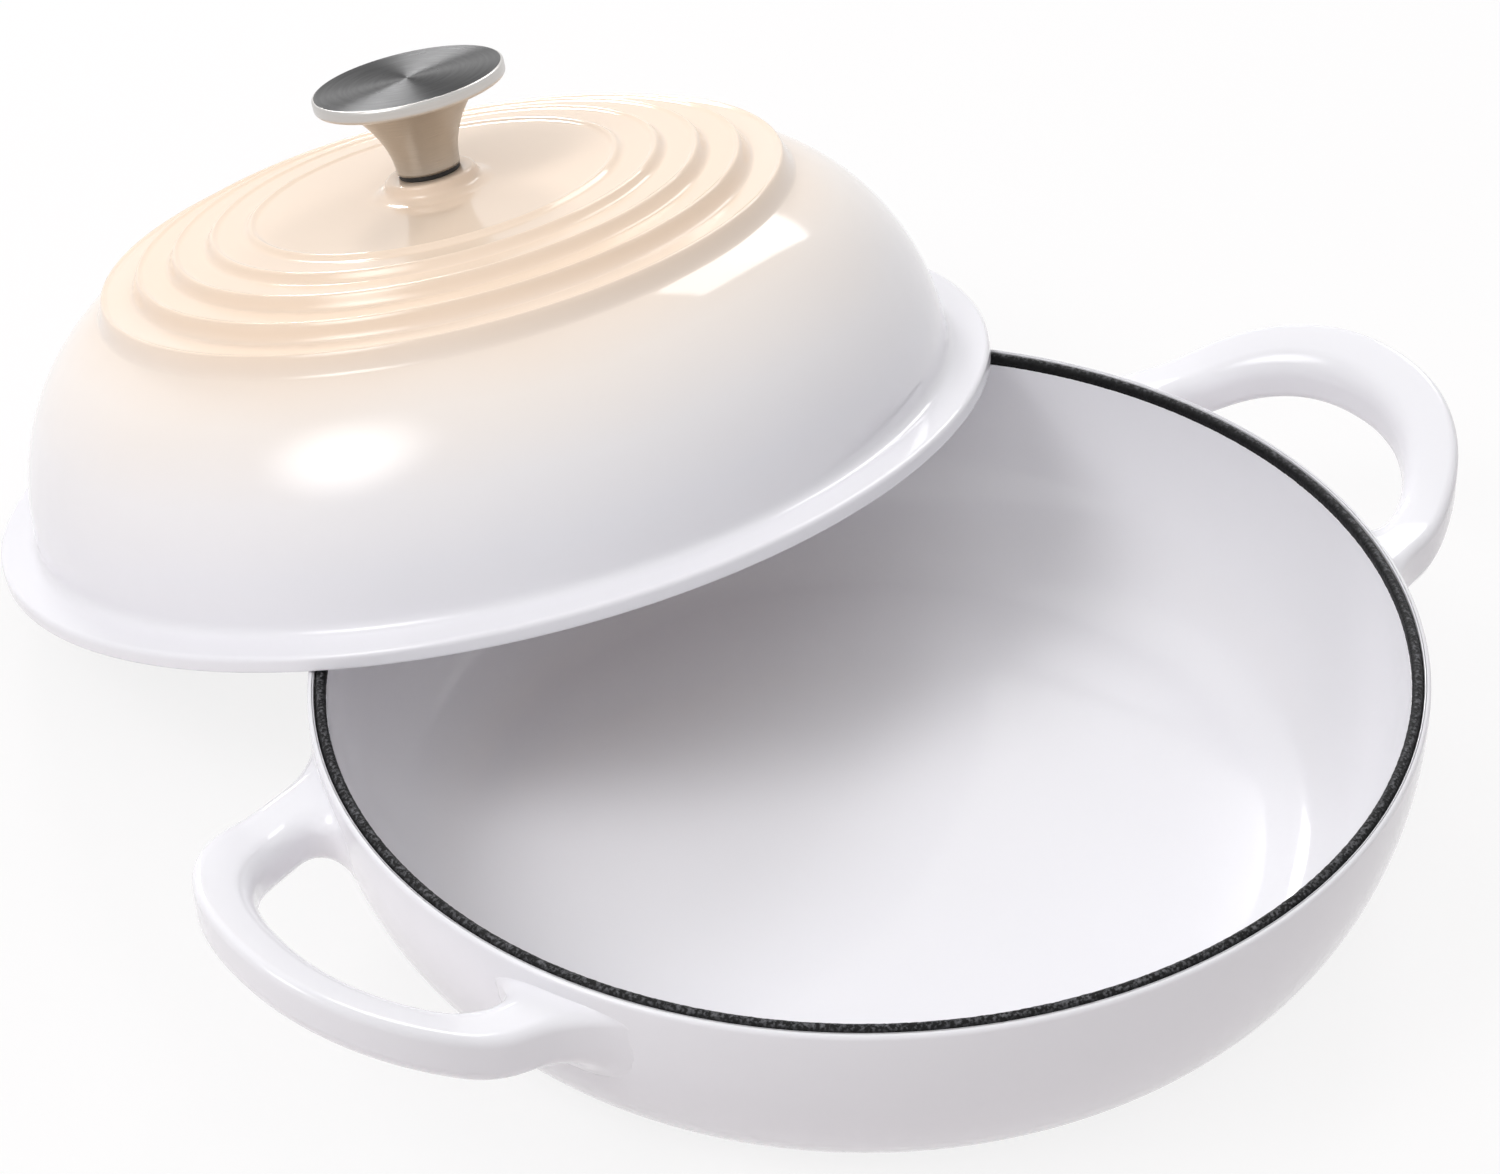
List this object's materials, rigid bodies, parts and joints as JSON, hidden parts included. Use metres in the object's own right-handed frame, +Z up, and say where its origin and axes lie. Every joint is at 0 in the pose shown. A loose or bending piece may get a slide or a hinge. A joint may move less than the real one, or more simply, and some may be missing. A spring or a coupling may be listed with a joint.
{
  "type": "dutch oven",
  "caption": "Enamelled cast-iron bread oven: shallow round pan with loop handles and a tall ridged dome lid with a steel knob, shown slid off the pan.",
  "frame": {"origin": "centre of the pan's flat underside, on the table", "axes": "+Z up; +X along the handles; +Y towards the side where the lid leans"},
  "size_m": [0.346, 0.4092, 0.1387],
  "materials": {
    "white_enamel": "gloss white enamel on cast iron",
    "cream_enamel": "gloss enamel on cast iron, cream at the crown fading to white at the flange",
    "bare_iron": "matt black, sand-cast grain",
    "knob_steel": "stainless steel, circular brushing on the cap",
    "gasket": "heat-proof black fibre"
  },
  "bodies": {
    "pan": {"base_pan": "white_enamel", "base_rim": "bare_iron", "handle_left": "white_enamel", "handle_right": "white_enamel"},
    "lid": {"lid_dome": "cream_enamel", "knob_gasket": "gasket", "knob_stem": "knob_steel", "knob_cap": "knob_steel", "knob_washer": "knob_steel", "knob_screw": "knob_steel"}
  },
  "joints": [
    {"name": "lid_slide", "type": "hinge", "parent": "pan", "child": "lid", "pos_m": [0, 0, -0.49556], "axis": [1, 0, 0], "range_deg": [0, 15.97]}
  ]
}
